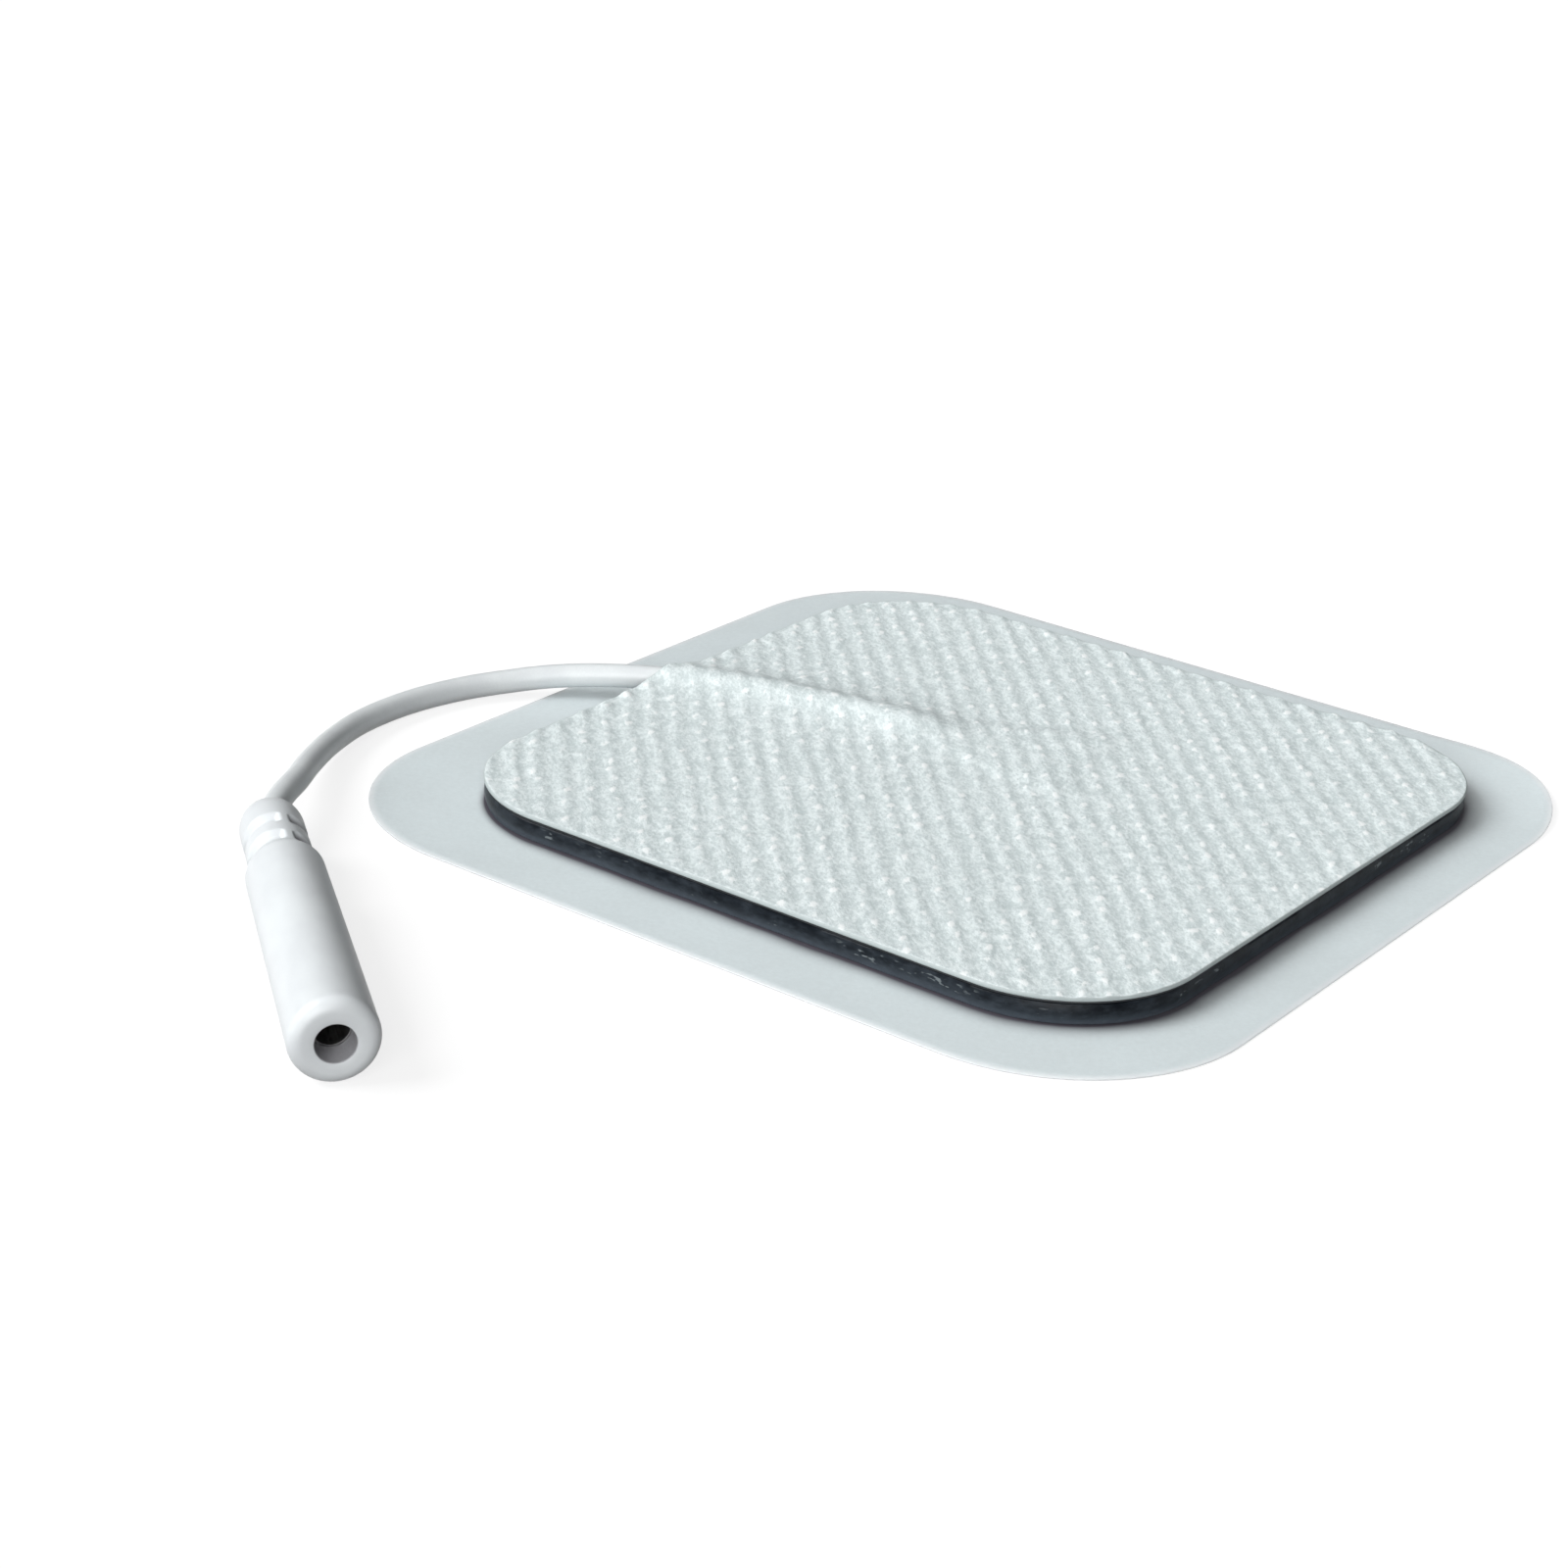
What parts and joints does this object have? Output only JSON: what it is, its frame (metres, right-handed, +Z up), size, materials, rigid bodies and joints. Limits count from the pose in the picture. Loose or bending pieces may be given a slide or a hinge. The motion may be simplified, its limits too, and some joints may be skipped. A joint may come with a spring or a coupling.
{
  "type": "tens electrode pad",
  "caption": "Square self-adhesive stimulation pad with a white cloth back, black film, gel and a clear release liner, and a short lead that ends in a moulded pin socket.",
  "frame": {"origin": "centre of the release liner's underside, on the surface that it lies on", "axes": "+Z up through the laminate; the lead leaves the middle of the pad's -X edge; +Y is the pad's other side direction"},
  "size_m": [0.0664, 0.0869, 0.005],
  "materials": {
    "cloth": "white embossed non-woven cloth, matt",
    "carbon_film": "black carbon-filled film, matt",
    "hydrogel": "soft tacky gel, dark from the film behind it, glossy",
    "release_liner": "clear slightly frosted film",
    "lead_insulation": "soft white cable jacket, satin",
    "tinned_copper": "tinned copper strands",
    "socket_moulding": "soft white moulding, satin",
    "plated_contact": "nickel-plated sheet brass"
  },
  "bodies": {
    "root": {"backing_cloth": "cloth", "carbon_film": "carbon_film", "hydrogel": "hydrogel", "release_liner": "release_liner", "lead_insulation": "lead_insulation", "lead_conductor": "tinned_copper", "socket_body": "socket_moulding", "socket_contact": "plated_contact"}
  },
  "joints": []
}
